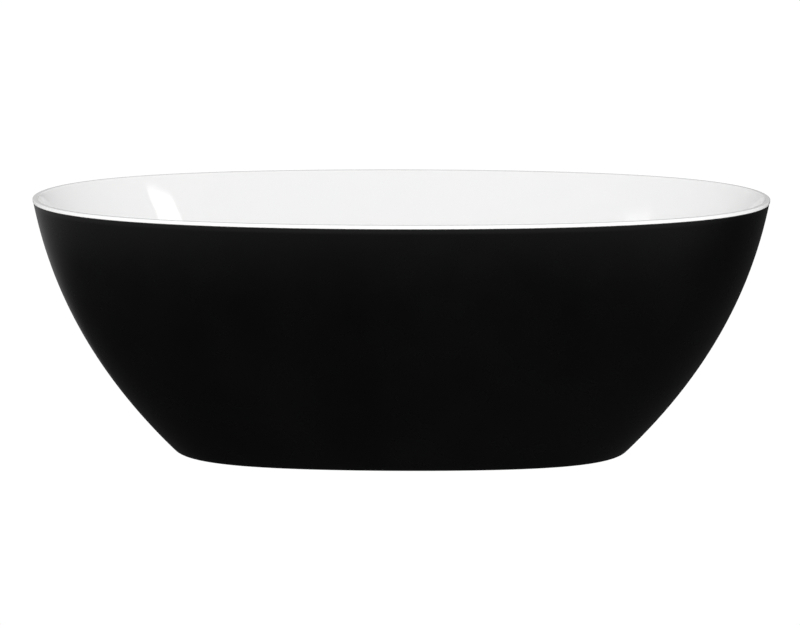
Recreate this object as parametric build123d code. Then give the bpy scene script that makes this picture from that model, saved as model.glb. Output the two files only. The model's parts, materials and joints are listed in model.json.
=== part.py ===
from build123d import *
import os
from math import atan, cos, degrees, pi, radians, sin

# Freestanding double-walled acrylic bath, with its frame, levelling feet, waste and overflow.
# Millimetres. +X runs along the bath, -Y is the front, Z = 0 is the floor under the middle of the bath.

# ---- driving dimensions ----
BATH_LENGTH = 1700.0
BATH_WIDTH = 820.0
BATH_HEIGHT = 590.0
FOOTPRINT_LENGTH = 1081.4       # outer skirt at the floor
FOOTPRINT_WIDTH = 499.6
ACRYLIC = 5.0                   # sheet thickness of both shells

# outer profile: share of the flare reached at height u = z / BATH_HEIGHT is a cubic in u
FLARE_LINEAR = 1.842
FLARE_SQUARE = -0.99
# fullness of the plan outline: 0 is an ellipse, larger is squarer
FULLNESS_FLOOR = 0.197
FULLNESS_MIDDLE = 0.142
FULLNESS_RIM = 0.096

SKIRT_BOTTOM = 3.0              # floor clearance of the outer skirt
RIM_THICKNESS = 7.5
SEAL_THICKNESS = 1.0
SEAL_INSET = 3.0                # from the rim's edge
SEAL_WIDTH = 4.0
SKIRT_TOP = BATH_HEIGHT - RIM_THICKNESS - SEAL_THICKNESS
SKIRT_FLANGE_WIDTH = 6.0
RIM_WIDTH = 12.0                # from the outer edge to the mouth of the well
RIM_OUTER_ROUND = 2.0
RIM_INNER_ROUND = 4.0

FLOOR_Z = 158.0                 # well floor at the foot of its walls
DRAIN_SEAT_Z = 152.0            # well floor at the drain
DRAIN_SEAT_RADIUS = 45.0
WELL_FLOOR_HALF_LENGTH = 600.0  # well walls carried straight down to the floor
WELL_FLOOR_HALF_WIDTH = 258.0
WELL_END_BULGE = 0.27           # ends of the well are convex along their slope, sides slightly hollow
WELL_SIDE_BULGE = -0.14
WELL_FULLNESS_FLOOR = 0.15
CORNER_HEIGHT = 100.0           # rounding between walls and floor
CORNER_END = 130.0
CORNER_SIDE = 90.0
CORNER_STOP = 87.5              # degrees; the rounding meets the falling floor here

LAMINATE = 4.0                  # glass-fibre backing on the walls
LAMINATE_TOP = 550.0
SKIRT_LAMINATE = 3.0            # glass-fibre backing inside the skirt
SKIRT_LAMINATE_BOTTOM = 8.0
BOARD_TOP = 143.0               # flat underside of the laminate
BOARD_THICKNESS = 16.0
BOARD_LENGTH = 920.0
BOARD_WIDTH = 320.0
BOARD_CORNER = 60.0
BOARD_DRAIN_HOLE = 60.0         # radius

TUBE = 25.0                     # square frame tube
TUBE_WALL = 2.0
TUBE_CORNER = 2.5
CROSS_X = 300.0
CROSS_LENGTH = 430.0
RAIL_Y = 150.0
RAIL_LENGTH = 880.0
CROSS_Z = BOARD_TOP - BOARD_THICKNESS - TUBE
RAIL_Z = CROSS_Z - TUBE

FOOT_X = 360.0
FOOT_NUT_HEIGHT = 10.0
STEM_RADIUS = 6.0
RUNNING_FIT = 0.06              # radial clearance of a shaft that turns or slides
FREE_FIT = 0.3                  # clearance between parts that only pass each other

OVERFLOW_Z = 452.0
OVERFLOW_HOLE = 16.5            # radius
DRAIN_HOLE = 26.0               # radius
PLUG_TRAVEL = 8.0
HOSE_RADIUS = 9.5
HOSE_BORE = 7.05
STUB_RADIUS = 7.0
HOSE_Z = 115.0                  # overflow inlet of the waste body

SIDES = (-1, 1)
OUTLINE_POINTS = 24


# ---- outlines and lofted bodies ----
def outline(half_length, half_width, fullness, z):
    """Smooth closed plan outline at one height."""
    points = []
    for step in range(OUTLINE_POINTS):
        t = 2 * pi * step / OUTLINE_POINTS
        x = half_length * cos(t) * (1 + fullness * sin(t) ** 2)
        y = half_width * sin(t) * (1 + fullness * cos(t) ** 2)
        points.append((x, y, z))
    return Wire([Edge.make_spline(points, periodic=True)])


def plate(half_length, half_width, fullness, z, thickness):
    """Flat plate with the bath's plan outline."""
    return extrude(Face(outline(half_length, half_width, fullness, z)), thickness, (0, 0, 1))


def rim_ring(inset, width, z, thickness):
    """Flat ring that follows the rim, from one inset to the next."""
    half_length = BATH_LENGTH / 2 - inset
    half_width = BATH_WIDTH / 2 - inset
    outside = plate(half_length, half_width, FULLNESS_RIM, z, thickness)
    return outside - plate(half_length - width, half_width - width, FULLNESS_RIM, z, thickness)


def skirt_size(z, inset=0.0):
    """Half length, half width and fullness of the skirt's surface, inset square to the wall."""
    u = z / BATH_HEIGHT
    cubic = 1 - FLARE_LINEAR - FLARE_SQUARE
    share = FLARE_LINEAR * u + FLARE_SQUARE * u ** 2 + cubic * u ** 3
    steepness = (FLARE_LINEAR + 2 * FLARE_SQUARE * u + 3 * cubic * u ** 2) / BATH_HEIGHT
    size = []
    for top, bottom in ((BATH_LENGTH, FOOTPRINT_LENGTH), (BATH_WIDTH, FOOTPRINT_WIDTH)):
        slope = atan((top - bottom) / 2 * steepness)
        size.append(bottom / 2 + (top - bottom) / 2 * share - inset / cos(slope))
    fullness = FULLNESS_FLOOR * (1 - u) ** 2 + 2 * FULLNESS_MIDDLE * u * (1 - u) + FULLNESS_RIM * u ** 2
    return size[0], size[1], fullness


def skirt_body(low, high, inset=0.0):
    """Solid bounded by the skirt's surface between two heights."""
    steps = 6
    heights = [low + (high - low) * step / steps for step in range(steps + 1)]
    return Solid.make_loft([outline(*skirt_size(z, inset), z) for z in heights])


def well_wall(z, offset=0.0):
    """Half length, half width and fullness of the well's wall, carried straight through the corner."""
    u = (z - FLOOR_Z) / (BATH_HEIGHT - FLOOR_Z)
    size = []
    for rim, floor, bulge in (
        (BATH_LENGTH / 2 - RIM_WIDTH, WELL_FLOOR_HALF_LENGTH, WELL_END_BULGE),
        (BATH_WIDTH / 2 - RIM_WIDTH, WELL_FLOOR_HALF_WIDTH, WELL_SIDE_BULGE),
    ):
        slope = atan((rim - floor) / (BATH_HEIGHT - FLOOR_Z) * (1 + bulge * (1 - 2 * u)))
        size.append(floor + (rim - floor) * (u + bulge * u * (1 - u)) + offset / cos(slope))
    fullness = FULLNESS_RIM + (WELL_FULLNESS_FLOOR - FULLNESS_RIM) * (1 - u)
    return size[0], size[1], fullness


def well_corner(share, offset, floor_offset):
    """Outline part of the way round the corner between walls and floor; a share of 1 is the floor."""
    angle = radians(CORNER_STOP * share)
    z = FLOOR_Z + CORNER_HEIGHT - (CORNER_HEIGHT + floor_offset) * sin(angle)
    half_length, half_width, fullness = well_wall(z, offset)
    half_length -= (CORNER_END + offset) * (1 - cos(angle))
    half_width -= (CORNER_SIDE + offset) * (1 - cos(angle))
    return outline(half_length, half_width, fullness, z)


def well_body(top, offset=0.0, floor_offset=0.0):
    """Solid that fills the well up to a height, grown outwards and down by the two offsets."""
    corner_z = FLOOR_Z + CORNER_HEIGHT
    steps = 5
    heights = [top + (corner_z - top) * step / steps for step in range(steps)]
    walls = [outline(*well_wall(z, offset), z) for z in heights]
    corner = [well_corner(step / steps, offset, floor_offset) for step in range(steps + 1)]
    return Solid.make_loft(walls + corner)


def well_with_fall(top, offset=0.0):
    """The well down to the drain seat, its floor falling evenly to the middle."""
    foot = well_corner(1, offset, offset)
    seat = outline(DRAIN_SEAT_RADIUS, DRAIN_SEAT_RADIUS, 0, DRAIN_SEAT_Z - offset)
    return well_body(top, offset, offset) + Solid.make_loft([foot, seat], True)


# ---- plain shapes ----
def rod(radius, low, high, x=0.0, y=0.0):
    """Upright cylinder between two heights."""
    return Pos(x, y, low) * Cylinder(radius, high - low, align=(Align.CENTER, Align.CENTER, Align.MIN))


def pipe(radius, bore, low, high, x=0.0, y=0.0):
    """Upright tube between two heights."""
    return rod(radius, low, high, x, y) - rod(bore, low, high, x, y)


def hexagon(across_flats, low, high, x=0.0, y=0.0):
    """Upright hexagonal prism between two heights."""
    profile = RegularPolygon(across_flats / 2, 6, major_radius=False)
    return Pos(x, y, low) * extrude(profile, high - low)


def block(low, high):
    """Box from its lowest to its highest corner."""
    size = [high[axis] - low[axis] for axis in range(3)]
    return Pos(*low) * Box(*size, align=(Align.MIN, Align.MIN, Align.MIN))


def square_bar(side, corner, length):
    """Square bar with rounded edges along X, centred on the origin."""
    return extrude(Plane.YZ * RectangleRounded(side, side, corner), length / 2, both=True)


def square_tube(length):
    """Square tube along X, open at both ends, centred on the origin."""
    bore = square_bar(TUBE - 2 * TUBE_WALL, TUBE_CORNER - TUBE_WALL, length + 2)
    return square_bar(TUBE, TUBE_CORNER, length) - bore


def tube_cap():
    """Plastic cap whose plug fills a tube's end; the tube lies towards -X of the origin."""
    plug_side = TUBE - 2 * TUBE_WALL - 2 * CAP_PLUG_GAP
    plug = Pos(-CAP_DEPTH / 2, 0, 0) * square_bar(plug_side, TUBE_CORNER - TUBE_WALL, CAP_DEPTH)
    return Pos(CAP_THICKNESS / 2, 0, 0) * square_bar(TUBE, TUBE_CORNER, CAP_THICKNESS) + plug


def mirrored(make):
    """One copy of a piece in each of the four quarters."""
    return [make(x_side, y_side) for x_side in SIDES for y_side in SIDES]


def save(name, *solids):
    """One node: one or more separate solids."""
    shape = solids[0] if len(solids) == 1 else Compound(children=list(solids))
    export_step(shape, f"parts/{name}.step")


# ---- shells ----
OVERFLOW_SIZE = well_wall(OVERFLOW_Z)
OVERFLOW_SLOPE = degrees(atan(
    (BATH_WIDTH / 2 - RIM_WIDTH - WELL_FLOOR_HALF_WIDTH) / (BATH_HEIGHT - FLOOR_Z)
    * (1 + WELL_SIDE_BULGE * (1 - 2 * (OVERFLOW_Z - FLOOR_Z) / (BATH_HEIGHT - FLOOR_Z)))
))
# seen from inside the bath: local z points into the well, local y runs down the wall
WALL_PLANE = Plane(
    origin=(0, -OVERFLOW_SIZE[1], OVERFLOW_Z),
    x_dir=(1, 0, 0),
    z_dir=(0, cos(radians(OVERFLOW_SLOPE)), sin(radians(OVERFLOW_SLOPE))),
)


def wall_holes():
    """Holes for the overflow and the drain, longer than the walls are thick."""
    overflow = WALL_PLANE * rod(OVERFLOW_HOLE, -25, 25)
    return overflow + rod(DRAIN_HOLE, BOARD_TOP - 5, FLOOR_Z + 5)


def rim_edge(shell, outermost):
    """The outer or the inner edge of the flat top of the rim."""
    edges = [edge for edge in shell.edges() if abs(edge.center().Z - BATH_HEIGHT) < 0.01]
    edges.sort(key=lambda edge: edge.length)
    return edges[-1] if outermost else edges[0]


def basin_outside():
    """The well grown by the acrylic's thickness."""
    return well_with_fall(BATH_HEIGHT - 1, ACRYLIC)


def basin_shell():
    """White inner bath: rim flange, walls, rounded corners and a floor that falls to the drain."""
    flange_z = BATH_HEIGHT - RIM_THICKNESS
    flange = plate(BATH_LENGTH / 2, BATH_WIDTH / 2, FULLNESS_RIM, flange_z, RIM_THICKNESS)
    shell = flange + basin_outside() - well_with_fall(BATH_HEIGHT + 10) - wall_holes()
    shell = fillet([rim_edge(shell, True)], RIM_OUTER_ROUND)
    return fillet([rim_edge(shell, False)], RIM_INNER_ROUND)


def basin_reinforcement():
    """Glass-fibre laminate behind the basin, finished flat underneath for the base board."""
    body = well_body(LAMINATE_TOP, ACRYLIC + LAMINATE, FLOOR_Z - BOARD_TOP)
    return body - basin_outside() - wall_holes()


def skirt_inside():
    """The space inside the skirt, open at the floor."""
    return skirt_body(SKIRT_BOTTOM - 10, SKIRT_TOP - ACRYLIC, ACRYLIC)


def outer_skirt():
    """Black outer shell, with a narrow flange turned in under the rim."""
    shell = skirt_body(SKIRT_BOTTOM, SKIRT_TOP) - skirt_inside()
    half_length, half_width, fullness = skirt_size(SKIRT_TOP)
    half_length -= SKIRT_FLANGE_WIDTH
    half_width -= SKIRT_FLANGE_WIDTH
    return shell - plate(half_length, half_width, fullness, SKIRT_TOP - 2 * ACRYLIC, 3 * ACRYLIC)


def skirt_reinforcement():
    """Glass-fibre laminate on the inside of the skirt."""
    reach = BATH_LENGTH / 2
    band = block((-reach, -reach, SKIRT_LAMINATE_BOTTOM), (reach, reach, LAMINATE_TOP))
    inside = skirt_body(SKIRT_LAMINATE_BOTTOM - 5, LAMINATE_TOP + 5, ACRYLIC + SKIRT_LAMINATE)
    return (skirt_inside() & band) - inside


def rim_seal():
    """Adhesive bead between the rim and the skirt's flange."""
    return rim_ring(SEAL_INSET, SEAL_WIDTH, SKIRT_TOP, SEAL_THICKNESS)


# ---- base board and frame ----
SCREW_Y = (-120.0, -45.0, 45.0, 120.0)
SCREW_RADIUS = 2.5
SCREW_HEAD_RADIUS = 5.0
SCREW_HEAD = 3.0
SCREW_TIP_Z = BOARD_TOP - 4
BOLT_RADIUS = 4.0
BOLT_HEX = 13.0                 # across flats, head and nut
BOLT_HEAD = 5.3
BOLT_END_Z = CROSS_Z + 11.0
NUT_HEIGHT = 6.5
CAP_DEPTH = 12.0
CAP_THICKNESS = 2.5
CAP_PLUG_GAP = 0.1
STEM_HOLE = STEM_RADIUS + 0.5
BRACKET_WIDTH = 30.0
BRACKET_THICKNESS = 3.0
BRACKET_INNER_Y = 176.0
BLOCK_INNER_Y = 245.0
BLOCK_DEPTH = 60.0              # before the outer face is fitted to the skirt
BLOCK_SCREW_DEPTH = 15.0
BLOCK_HALF_LENGTH = 25.0
BLOCK_TOP = 145.0
BRACKET_TOP = 140.0
BRACKET_SCREW_END_Z = CROSS_Z + 8.0
CROSS_SCREW_Y = 200.0
BLOCK_SCREW_Z = 124.0


def base_board():
    """Plywood board bonded under the laminate, open around the drain."""
    outline_2d = RectangleRounded(BOARD_LENGTH, BOARD_WIDTH, BOARD_CORNER)
    board = Pos(0, 0, BOARD_TOP - BOARD_THICKNESS) * extrude(outline_2d, BOARD_THICKNESS)
    board -= rod(BOARD_DRAIN_HOLE, BOARD_TOP - BOARD_THICKNESS, BOARD_TOP)
    for x in (-CROSS_X, CROSS_X):
        for y in SCREW_Y:
            board -= rod(SCREW_RADIUS, BOARD_TOP - BOARD_THICKNESS, SCREW_TIP_Z, x, y)
    return board


def frame_rail(y_side):
    """Long tube under the cross members; the feet screw through it."""
    y = y_side * RAIL_Y
    rail = Pos(0, y, RAIL_Z + TUBE / 2) * square_tube(RAIL_LENGTH)
    for x_side in SIDES:
        rail -= rod(STEM_HOLE, RAIL_Z, CROSS_Z, x_side * FOOT_X, y)
        rail -= rod(BOLT_RADIUS, RAIL_Z, CROSS_Z, x_side * CROSS_X, y)
    return rail


def cross_member(x_side):
    """Short tube screwed to the base board."""
    x = x_side * CROSS_X
    member = Pos(x, 0, CROSS_Z + TUBE / 2) * Rot(0, 0, 90) * square_tube(CROSS_LENGTH)
    for y in SCREW_Y:
        member -= rod(SCREW_RADIUS, CROSS_Z, CROSS_Z + TUBE, x, y)
    for y_side in SIDES:
        member -= rod(BOLT_RADIUS, CROSS_Z, CROSS_Z + TUBE / 2, x, y_side * RAIL_Y)
        member -= rod(SCREW_RADIUS, CROSS_Z, CROSS_Z + TUBE / 2, x, y_side * CROSS_SCREW_Y)
    return member


def tube_caps(x_side, y_side):
    """The caps of one quarter of the frame: the end of a rail and the end of a cross member."""
    rail_end = Pos(x_side * RAIL_LENGTH / 2, y_side * RAIL_Y, RAIL_Z + TUBE / 2)
    cross_end = Pos(x_side * CROSS_X, y_side * CROSS_LENGTH / 2, CROSS_Z + TUBE / 2)
    rail_cap = rail_end * Rot(0, 0, 90 - 90 * x_side) * tube_cap()
    cross_cap = cross_end * Rot(0, 0, 90 * y_side) * tube_cap()
    return rail_cap, cross_cap


def frame_screw(x, y):
    """Wood screw up through a cross member into the board."""
    head = rod(SCREW_HEAD_RADIUS, CROSS_Z - SCREW_HEAD, CROSS_Z, x, y)
    return head + rod(SCREW_RADIUS, CROSS_Z - SCREW_HEAD, SCREW_TIP_Z, x, y)


def frame_bolt(x_side, y_side):
    """Hexagon bolt up through a rail into a cross member."""
    x, y = x_side * CROSS_X, y_side * RAIL_Y
    head = hexagon(BOLT_HEX, RAIL_Z - BOLT_HEAD, RAIL_Z, x, y)
    return head + rod(BOLT_RADIUS, RAIL_Z - BOLT_HEAD, BOLT_END_Z, x, y)


def frame_nut(x_side, y_side):
    """Nut on the bolt, inside the cross member."""
    x, y = x_side * CROSS_X, y_side * RAIL_Y
    low = CROSS_Z + TUBE_WALL
    high = low + NUT_HEIGHT
    return hexagon(BOLT_HEX, low, high, x, y) - rod(BOLT_RADIUS, low, high, x, y)


def skirt_block(x_side, y_side):
    """Timber block bonded inside the skirt, its outer face fitted to the laminate."""
    x = x_side * CROSS_X
    near, far = sorted((y_side * BLOCK_INNER_Y, y_side * (BLOCK_INNER_Y + BLOCK_DEPTH)))
    blank = block((x - BLOCK_HALF_LENGTH, near, CROSS_Z), (x + BLOCK_HALF_LENGTH, far, BLOCK_TOP))
    blank = blank & skirt_body(CROSS_Z - 20, BLOCK_TOP + 20, ACRYLIC + SKIRT_LAMINATE + FREE_FIT)
    depth = BLOCK_SCREW_DEPTH + 1
    hole_end = y_side * (BLOCK_INNER_Y + depth)
    hole = Pos(x, hole_end, BLOCK_SCREW_Z) * Rot(90 * y_side, 0, 0) * rod(SCREW_RADIUS, 0, depth)
    return blank - hole


def skirt_bracket(x_side, y_side):
    """Steel angle from a cross member's end to a skirt block."""
    x = x_side * CROSS_X
    half = BRACKET_WIDTH / 2
    low_y, high_y = sorted((y_side * BRACKET_INNER_Y, y_side * BLOCK_INNER_Y))
    leg_low, leg_high = sorted((y_side * (BLOCK_INNER_Y - BRACKET_THICKNESS), y_side * BLOCK_INNER_Y))
    bracket = block((x - half, low_y, CROSS_Z - BRACKET_THICKNESS), (x + half, high_y, CROSS_Z))
    bracket += block((x - half, leg_low, CROSS_Z - BRACKET_THICKNESS), (x + half, leg_high, BRACKET_TOP))
    bracket -= rod(SCREW_RADIUS, CROSS_Z - 5, CROSS_Z + 5, x, y_side * CROSS_SCREW_Y)
    hole = Pos(x, y_side * BLOCK_INNER_Y, BLOCK_SCREW_Z) * Rot(90 * y_side, 0, 0) * rod(SCREW_RADIUS, -5, 5)
    return bracket - hole


def bracket_screw_up(x_side, y_side):
    """Screw from the bracket up into the cross member."""
    x, y = x_side * CROSS_X, y_side * CROSS_SCREW_Y
    head_z = CROSS_Z - BRACKET_THICKNESS
    head = rod(SCREW_HEAD_RADIUS, head_z - SCREW_HEAD, head_z, x, y)
    return head + rod(SCREW_RADIUS, head_z - SCREW_HEAD, BRACKET_SCREW_END_Z, x, y)


def bracket_screw_out(x_side, y_side):
    """Screw from the bracket out into the skirt block."""
    seat = -(BLOCK_INNER_Y - BRACKET_THICKNESS)
    screw = rod(SCREW_HEAD_RADIUS, seat, seat + SCREW_HEAD)
    screw += rod(SCREW_RADIUS, -BLOCK_INNER_Y - BLOCK_SCREW_DEPTH, seat + SCREW_HEAD)
    return Pos(x_side * CROSS_X, 0, BLOCK_SCREW_Z) * Rot(90 * y_side, 0, 0) * screw


# ---- levelling feet ----
PAD_RADIUS = 28.0
PAD_THICKNESS = 10.0
PAD_BOSS_RADIUS = 13.0
PAD_BOSS_TOP = 26.0
PAD_ROUND = 4.0
FOOT_NUT_HEX = 22.0
STEM_BOTTOM = 12.0
STEM_TOP = 118.0
STEM_HEX = 18.0
STEM_HEX_HEIGHT = 10.0


def foot_nut(x_side, y_side):
    """Threaded nut welded under the rail."""
    x, y = x_side * FOOT_X, y_side * RAIL_Y
    low = RAIL_Z - FOOT_NUT_HEIGHT
    return hexagon(FOOT_NUT_HEX, low, RAIL_Z, x, y) - rod(STEM_RADIUS + RUNNING_FIT, low, RAIL_Z, x, y)


def foot_pad(x_side, y_side):
    """Plastic pad with a socket for the stem and a rounded tread."""
    x, y = x_side * FOOT_X, y_side * RAIL_Y
    tread = rod(PAD_RADIUS, 0, PAD_THICKNESS, x, y)
    tread = fillet(tread.edges().group_by(Axis.Z)[-1], PAD_ROUND)
    pad = tread + rod(PAD_BOSS_RADIUS, PAD_THICKNESS - 1, PAD_BOSS_TOP, x, y)
    return pad - rod(STEM_RADIUS + RUNNING_FIT, STEM_BOTTOM - FREE_FIT, PAD_BOSS_TOP, x, y)


def foot_stem(x_side, y_side):
    """Threaded stem with a hexagon for a spanner, screwed fully in against the nut."""
    x, y = x_side * FOOT_X, y_side * RAIL_Y
    hex_top = RAIL_Z - FOOT_NUT_HEIGHT - FREE_FIT
    stem = rod(STEM_RADIUS, STEM_BOTTOM, STEM_TOP, x, y)
    stem = chamfer(stem.edges().group_by(Axis.Z)[-1], 1.0)
    return stem + hexagon(STEM_HEX, hex_top - STEM_HEX_HEIGHT, hex_top, x, y)


# ---- waste ----
FLANGE_SEAL = 1.0
FLANGE_Z = DRAIN_SEAT_Z + FLANGE_SEAL
FLANGE_TOP = FLANGE_Z + 3.0
FLANGE_RADIUS = 35.0
SEAL_BORE = 26.0                # seals above and below the floor
SEAL_RADIUS = 33.0
THROAT_RADIUS = 25.0            # threaded tube of the flange
THROAT_BORE = 22.0
THROAT_BOTTOM = 126.0
SPIDER_TOP = 132.0
HUB_RADIUS = 9.0
SPIDER_ARM = 4.0
CARTRIDGE_RADIUS = 6.0
CARTRIDGE_BOTTOM = 106.0
CARTRIDGE_TOP = 148.0
CARTRIDGE_END = 2.0
PLUG_STEM_RADIUS = 4.0
PLUG_SEAL_Z = FLANGE_TOP + FREE_FIT + PLUG_TRAVEL
PLUG_SEAL_THICKNESS = 2.0
PLUG_CAP_Z = PLUG_SEAL_Z + PLUG_SEAL_THICKNESS
PLUG_RADIUS = 32.0
PLUG_CAP = 5.5
PLUG_ROUND = 3.0
PLUG_SEAL_RADIUS = 30.0
PLUG_SEAL_BORE = 25.0
SPRING_RADIUS = 7.0
SPRING_WIRE_RADIUS = 0.6
SPRING_TURNS = 4
GASKET_BOTTOM = BOARD_TOP - 4.0
WASTE_FLANGE_BOTTOM = GASKET_BOTTOM - 6.0
WASTE_FLANGE_RADIUS = 36.0
WASTE_RADIUS = 30.0
WASTE_INLET_END = 72.0
STUB_BORE = 5.2
WASTE_BOTTOM = 78.0
WASTE_THREAD_RADIUS = 28.0
WASTE_THREAD_TOP = 96.0
OUTLET_RADIUS = 20.0            # 40 mm pipe
OUTLET_BORE = 18.0
OUTLET_BOTTOM = 25.0
OUTLET_COLLAR = 3.0
OUTLET_COLLAR_RADIUS = 27.0
OUTLET_STOP_Z = 65.0            # top of the push-on length of the outlet pipe
OUTLET_STOP_RADIUS = 22.5
OUTLET_STOP = 3.0
UNION_HEX = 68.0
UNION_LIP = 3.0
UNION_TOP = WASTE_BOTTOM + 12.0
WASHER = 3.0


def drain_flange():
    """Chromed flange with its threaded throat and the spider that holds the click mechanism."""
    disc = rod(FLANGE_RADIUS, FLANGE_Z, FLANGE_TOP)
    disc = fillet(disc.edges().group_by(Axis.Z)[-1], 2.0)
    flange = disc + rod(THROAT_RADIUS, THROAT_BOTTOM, FLANGE_Z + 1) - rod(THROAT_BORE, 0, FLANGE_TOP + 1)
    reach, half = THROAT_BORE + 1, SPIDER_ARM / 2
    arm = block((-reach, -half, THROAT_BOTTOM), (reach, half, SPIDER_TOP))
    spider = arm + Rot(0, 0, 90) * arm + rod(HUB_RADIUS, THROAT_BOTTOM, SPIDER_TOP)
    return flange + spider - rod(CARTRIDGE_RADIUS, THROAT_BOTTOM, SPIDER_TOP)


def plug_cartridge():
    """Sleeve of the click mechanism, screwed into the spider and closed below."""
    sleeve = rod(CARTRIDGE_RADIUS, CARTRIDGE_BOTTOM, CARTRIDGE_TOP)
    return sleeve - rod(PLUG_STEM_RADIUS + RUNNING_FIT, CARTRIDGE_BOTTOM + CARTRIDGE_END, CARTRIDGE_TOP)


def drain_plug():
    """Chromed cap and its stem, shown raised."""
    cap = rod(PLUG_RADIUS, PLUG_CAP_Z, PLUG_CAP_Z + PLUG_CAP)
    cap = fillet(cap.edges().group_by(Axis.Z)[-1], PLUG_ROUND)
    stem_bottom = CARTRIDGE_BOTTOM + CARTRIDGE_END + PLUG_TRAVEL + 2
    return cap + rod(PLUG_STEM_RADIUS, stem_bottom, PLUG_CAP_Z + 1)


def plug_spring():
    """Coil spring between the sleeve and the cap."""
    height = PLUG_CAP_Z - CARTRIDGE_TOP - 2 * SPRING_WIRE_RADIUS
    coil = Helix(pitch=height / SPRING_TURNS, height=height, radius=SPRING_RADIUS)
    path = Pos(0, 0, CARTRIDGE_TOP + SPRING_WIRE_RADIUS) * coil
    profile = Plane(path @ 0, z_dir=path % 0) * Circle(SPRING_WIRE_RADIUS)
    return sweep(profile, path, is_frenet=True)


def waste_body():
    """Moulded tee below the bath: threaded for the flange, with the overflow inlet at the front."""
    body = rod(WASTE_FLANGE_RADIUS, WASTE_FLANGE_BOTTOM, GASKET_BOTTOM)
    body += rod(WASTE_RADIUS, WASTE_THREAD_TOP, WASTE_FLANGE_BOTTOM)
    body += rod(WASTE_THREAD_RADIUS, WASTE_BOTTOM, WASTE_THREAD_TOP)
    inlet = Pos(0, 0, HOSE_Z) * Rot(90, 0, 0)
    body += inlet * rod(STUB_RADIUS, THROAT_RADIUS, WASTE_INLET_END)
    body -= rod(THROAT_RADIUS, THROAT_BOTTOM, GASKET_BOTTOM)
    body -= rod(THROAT_BORE, WASTE_BOTTOM, THROAT_BOTTOM)
    return body - inlet * rod(STUB_BORE, 0, WASTE_INLET_END + 1)


def outlet_nut():
    """Union nut that draws the outlet pipe up to the waste body."""
    collar_bottom = WASTE_BOTTOM - WASHER - OUTLET_COLLAR
    nut_bottom = collar_bottom - UNION_LIP
    grip = hexagon(UNION_HEX, nut_bottom, UNION_TOP)
    grip -= rod(WASTE_THREAD_RADIUS, collar_bottom, UNION_TOP)
    return grip - rod(OUTLET_RADIUS + FREE_FIT, nut_bottom, collar_bottom)


def outlet_pipe():
    """Plain tailpipe that the house's waste pipe slides onto."""
    top = WASTE_BOTTOM - WASHER
    tail = rod(OUTLET_RADIUS, OUTLET_BOTTOM, top)
    tail += rod(OUTLET_COLLAR_RADIUS, top - OUTLET_COLLAR, top)
    tail += rod(OUTLET_STOP_RADIUS, OUTLET_STOP_Z, OUTLET_STOP_Z + OUTLET_STOP)
    return tail - rod(OUTLET_BORE, OUTLET_BOTTOM, top)


# ---- overflow, in the wall plane's own coordinates ----
WALL_BACK = -(ACRYLIC + LAMINATE) - 0.4     # clear of the slightly curved laminate
OVERFLOW_SEAL = 2.0
OVERFLOW_FLANGE = 3.0
OVERFLOW_FLANGE_RADIUS = 27.0
OVERFLOW_FLANGE_BACK = WALL_BACK - OVERFLOW_SEAL - OVERFLOW_FLANGE
OVERFLOW_BACK = -31.0
OVERFLOW_CUP_RADIUS = 20.5
OVERFLOW_THREAD = 16.0          # radius of the thread between ring and elbow
OVERFLOW_SEAL_BORE = 16.2
RING_RADIUS = 28.0
RING_BORE = 13.5
RING_BACK = 0.4
RING_FRONT = 2.4
RING_BAR = 7.0
COVER_RADIUS = 32.0
COVER_BORE = 30.0
COVER_BACK = 1.0
COVER_FRONT = 12.0
COVER_FACE = 3.0
COVER_ROUND = 2.0
COVER_BOSS_RADIUS = 6.0
COVER_SCREW_BACK = -3.0
COVER_SCREW_FRONT = 10.5
STUB_Z = -21.0
STUB_START = 19.0
STUB_END = 48.0
HOSE_START = 30.0
HOSE_DROP = 32.0                # straight length down the wall
HOSE_TURN_Y = -278.5
HOSE_END_Y = -50.0
HOSE_BENDS = (250, 90)          # radii
CLIP_WIDTH = 8.0
CLIP_THICKNESS = 1.2
CLIP_FROM_END = 4.0


def down_wall(radius, low, high):
    """Cylinder that runs down behind the wall, along the overflow's outlet."""
    return Pos(0, 0, STUB_Z) * Rot(-90, 0, 0) * rod(radius, low, high)


def overflow_ring():
    """Chromed ring that screws through the wall, with a bar for the cover's screw."""
    ring = pipe(RING_RADIUS, RING_BORE, RING_BACK, RING_FRONT)
    ring += pipe(OVERFLOW_THREAD, RING_BORE, OVERFLOW_FLANGE_BACK, RING_BACK)
    reach, half = RING_BORE + 1, RING_BAR / 2
    bar = block((-reach, -half, COVER_SCREW_BACK), (reach, half, RING_FRONT))
    return WALL_PLANE * (ring + bar - rod(SCREW_RADIUS, COVER_SCREW_BACK, RING_FRONT))


def overflow_cover():
    """Round chromed cover, open at its lower edge for the water."""
    face_back = COVER_FRONT - COVER_FACE
    face = rod(COVER_RADIUS, face_back, COVER_FRONT)
    face = fillet(face.edges().group_by(Axis.Z)[-1], COVER_ROUND)
    side = pipe(COVER_RADIUS, COVER_BORE, COVER_BACK, face_back + 1)
    side -= block((-22, 12, 0), (22, 40, face_back))
    boss = rod(COVER_BOSS_RADIUS, RING_FRONT, face_back + 1)
    return WALL_PLANE * (face + side + boss - rod(SCREW_RADIUS, 0, COVER_SCREW_FRONT))


def overflow_screw():
    """Screw that holds the cover to the ring's bar."""
    return WALL_PLANE * rod(SCREW_RADIUS, COVER_SCREW_BACK, COVER_SCREW_FRONT)


def overflow_gasket():
    """Rubber washer behind the wall."""
    back = WALL_BACK - OVERFLOW_SEAL
    return WALL_PLANE * pipe(OVERFLOW_FLANGE_RADIUS, OVERFLOW_SEAL_BORE, back, WALL_BACK)


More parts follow.
